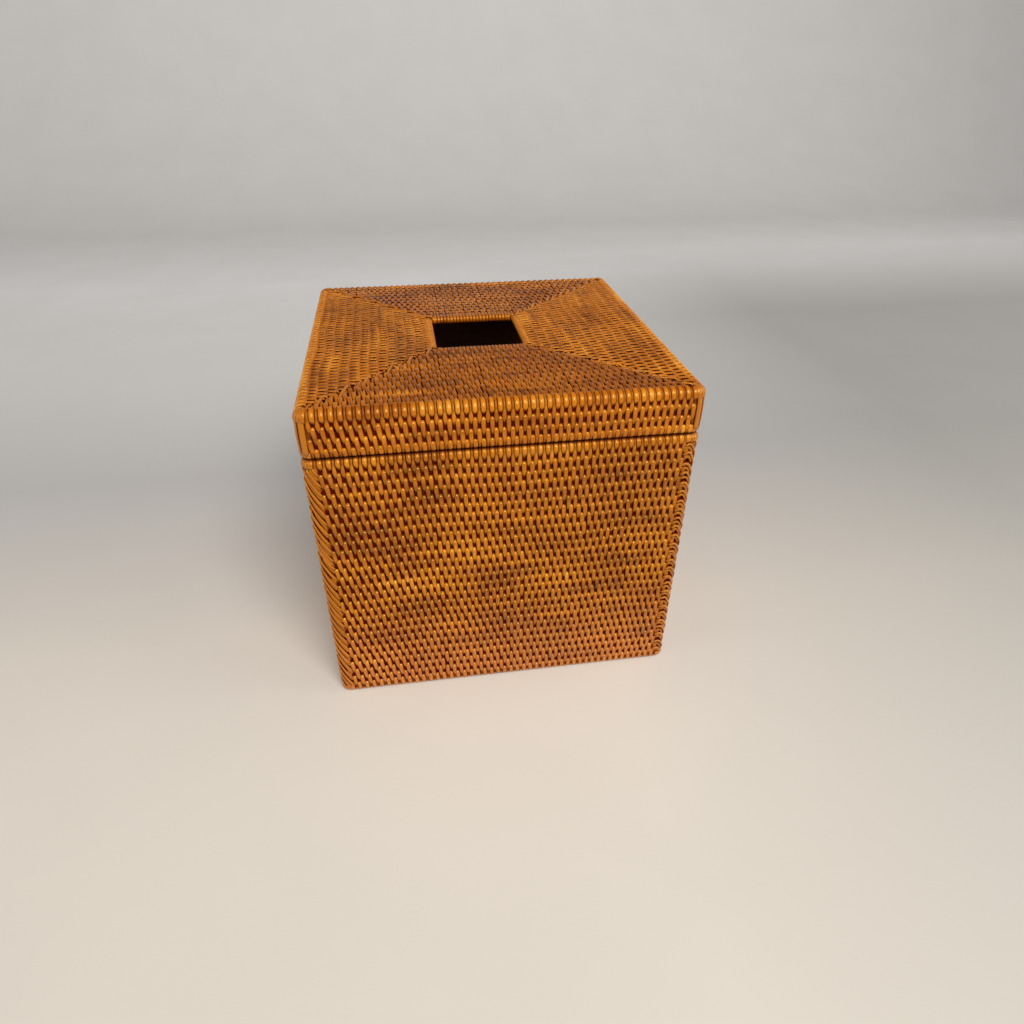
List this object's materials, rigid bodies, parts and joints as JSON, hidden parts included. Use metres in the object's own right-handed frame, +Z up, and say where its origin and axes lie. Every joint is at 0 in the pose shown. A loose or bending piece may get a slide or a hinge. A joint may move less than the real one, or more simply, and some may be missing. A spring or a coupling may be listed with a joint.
{
  "type": "tissue box cover",
  "caption": "Square woven rattan cover for an upright tissue carton, with a flush lift-off lid, a mitred top and a small square opening to pull tissues through.",
  "frame": {"origin": "middle of the square footprint, on the surface that the cover stands on", "axes": "+Z up through the lid; -Y is the front face; +X is to the right seen from the front"},
  "size_m": [0.155, 0.155, 0.142],
  "materials": {
    "woven_peel": "woven rattan peel, honey brown stain darker in the recesses, glossy lacquer",
    "binding_peel": "close-wrapped rattan peel, honey stain, glossy lacquer",
    "lashing_peel": "crossed rattan peel strips, honey stain, glossy lacquer",
    "collar_splint": "flat rattan splint, brown stain, satin lacquer",
    "cane": "round rattan cane, dark brown stain, satin"
  },
  "bodies": {
    "basket": {"front_wall": "woven_peel", "right_wall": "woven_peel", "back_wall": "woven_peel", "left_wall": "woven_peel", "floor_panel": "woven_peel", "base_hoop": "cane", "base_binding": "binding_peel", "front_right_post": "cane", "back_right_post": "cane", "back_left_post": "cane", "front_left_post": "cane", "front_right_lashing": "lashing_peel", "back_right_lashing": "lashing_peel", "back_left_lashing": "lashing_peel", "front_left_lashing": "lashing_peel", "rim_hoop": "cane", "rim_binding": "binding_peel", "collar": "collar_splint"},
    "lid": {"front_top": "woven_peel", "right_top": "woven_peel", "back_top": "woven_peel", "left_top": "woven_peel", "front_skirt": "woven_peel", "right_skirt": "woven_peel", "back_skirt": "woven_peel", "left_skirt": "woven_peel", "edge_hoop": "cane", "edge_binding": "binding_peel", "skirt_hoop": "cane", "skirt_binding": "binding_peel", "front_right_skirt_lashing": "lashing_peel", "back_right_skirt_lashing": "lashing_peel", "back_left_skirt_lashing": "lashing_peel", "front_left_skirt_lashing": "lashing_peel", "opening_hoop": "cane", "opening_binding": "binding_peel", "front_right_rib": "cane", "back_right_rib": "cane", "back_left_rib": "cane", "front_left_rib": "cane", "front_right_mitre": "lashing_peel", "back_right_mitre": "lashing_peel", "back_left_mitre": "lashing_peel", "front_left_mitre": "lashing_peel"}
  },
  "joints": [
    {"name": "lid_lift", "type": "slide", "parent": "basket", "child": "lid", "axis": [0, 0, 1], "range_m": [0, 0.06]}
  ]
}
